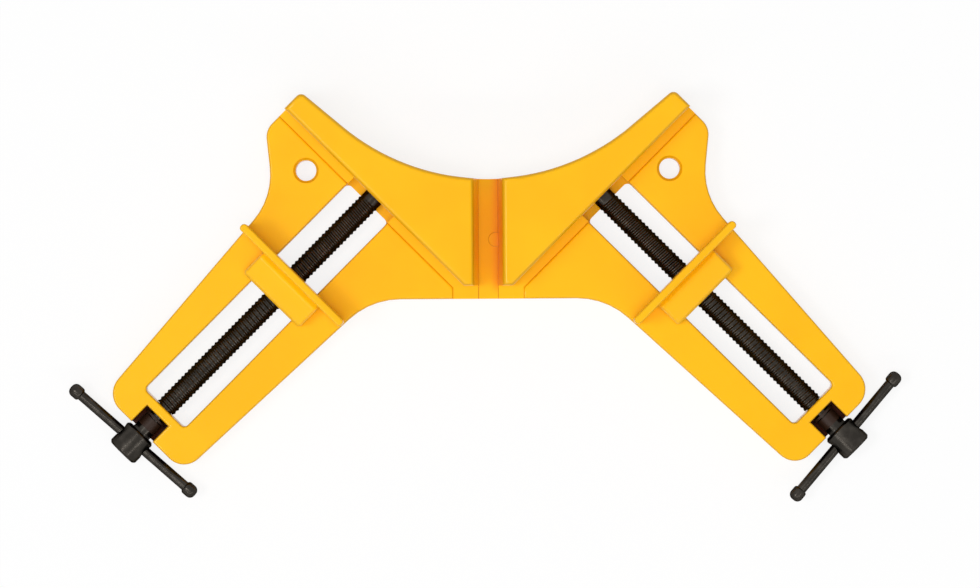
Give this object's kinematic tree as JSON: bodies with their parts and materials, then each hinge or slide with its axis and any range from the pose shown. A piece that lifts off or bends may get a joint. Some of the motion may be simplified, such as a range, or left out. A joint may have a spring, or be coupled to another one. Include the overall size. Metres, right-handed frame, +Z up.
{
  "type": "corner clamp",
  "caption": "Right-angle corner clamp with a die-cast V base, fixed fences and screw-driven sliding jaws for gluing and sawing mitred picture frames.",
  "frame": {"origin": "underside of the base, on the centre line under the corner block", "axes": "+X along the clamp's width, +Y from the V's mouth towards the hollow top arc, +Z up from the bench"},
  "size_m": [0.2629, 0.1292, 0.034],
  "materials": {
    "yellow_paint": "satin paint on a die casting",
    "black_steel": "black oxide, lightly oiled",
    "zinc_plate": "zinc plated"
  },
  "bodies": {
    "base": {"base_casting": "yellow_paint"},
    "left_slider": {"left_jaw": "yellow_paint", "left_keeper_plate": "zinc_plate", "left_keeper_screw_inner": "zinc_plate", "left_keeper_screw_outer": "zinc_plate"},
    "left_spindle": {"left_lead_screw": "black_steel", "left_thrust_washer": "black_steel", "left_screw_head": "black_steel", "left_head_pin": "black_steel"},
    "left_handle": {"left_cross_bar": "black_steel", "left_bar_end_inner": "black_steel", "left_bar_end_outer": "black_steel"},
    "right_slider": {"right_jaw": "yellow_paint", "right_keeper_plate": "zinc_plate", "right_keeper_screw_inner": "zinc_plate", "right_keeper_screw_outer": "zinc_plate"},
    "right_spindle": {"right_lead_screw": "black_steel", "right_thrust_washer": "black_steel", "right_screw_head": "black_steel", "right_head_pin": "black_steel"},
    "right_handle": {"right_cross_bar": "black_steel", "right_bar_end_inner": "black_steel", "right_bar_end_outer": "black_steel"}
  },
  "joints": [
    {"name": "left_screw_turn", "type": "hinge", "parent": "base", "child": "left_spindle", "pos_m": [-0.10967, -0.05797, 0.0076], "axis": [-0.7071, -0.7071, 0], "range_deg": [-7930, 11170]},
    {"name": "left_jaw_slide", "type": "slide", "parent": "base", "child": "left_slider", "axis": [-0.7071, -0.7071, 0], "range_m": [-0.033, 0.0465]},
    {"name": "left_bar_slide", "type": "slide", "parent": "left_spindle", "child": "left_handle", "axis": [-0.749, 0.6626, 0], "range_m": [-0.0155, 0.0155]},
    {"name": "right_screw_turn", "type": "hinge", "parent": "base", "child": "right_spindle", "pos_m": [0.10967, -0.05797, 0.0076], "axis": [0.7071, -0.7071, 0], "range_deg": [-7930, 11170]},
    {"name": "right_jaw_slide", "type": "slide", "parent": "base", "child": "right_slider", "axis": [0.7071, -0.7071, 0], "range_m": [-0.033, 0.0465]},
    {"name": "right_bar_slide", "type": "slide", "parent": "right_spindle", "child": "right_handle", "axis": [0.6468, 0.7627, 0], "range_m": [-0.0155, 0.0155]}
  ],
  "couplings": [
    {"joint": "left_screw_turn", "follows": "left_jaw_slide", "rad_per_m": 4188.8},
    {"joint": "right_screw_turn", "follows": "right_jaw_slide", "rad_per_m": 4188.8}
  ]
}
